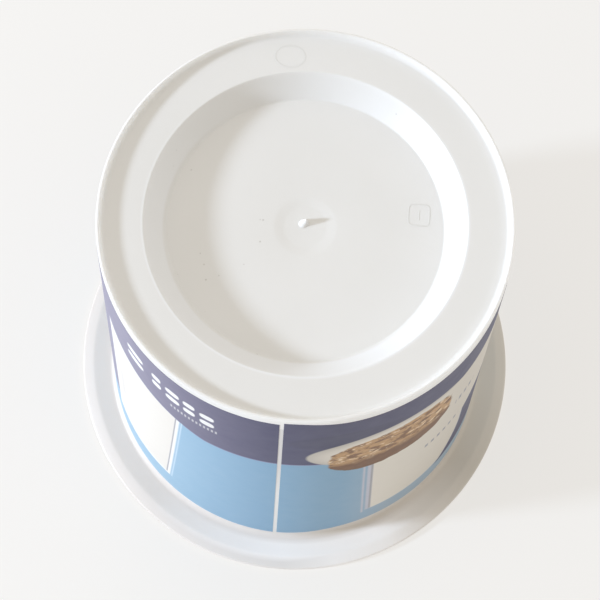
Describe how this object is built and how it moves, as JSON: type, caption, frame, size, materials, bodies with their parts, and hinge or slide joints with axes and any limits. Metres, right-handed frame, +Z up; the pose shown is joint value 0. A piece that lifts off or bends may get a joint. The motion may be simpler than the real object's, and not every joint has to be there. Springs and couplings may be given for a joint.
{
  "type": "plastic food cup",
  "caption": "Round tapered thin-walled plastic tub for dairy food, with a flat rim and a recessed base, standing upside down on its rim.",
  "frame": {"origin": "middle of the rim's resting face, which is the bottom of the part as it stands", "axes": "+Z up along the cup's axis, from the open rim to the closed base; -Y towards the label's seam"},
  "size_m": [0.0954, 0.0954, 0.0888],
  "materials": {
    "cup_plastic": "white moulded polypropylene, satin, with a printed in-mould label round the wall"
  },
  "bodies": {
    "root": {"cup": "cup_plastic"}
  },
  "joints": []
}
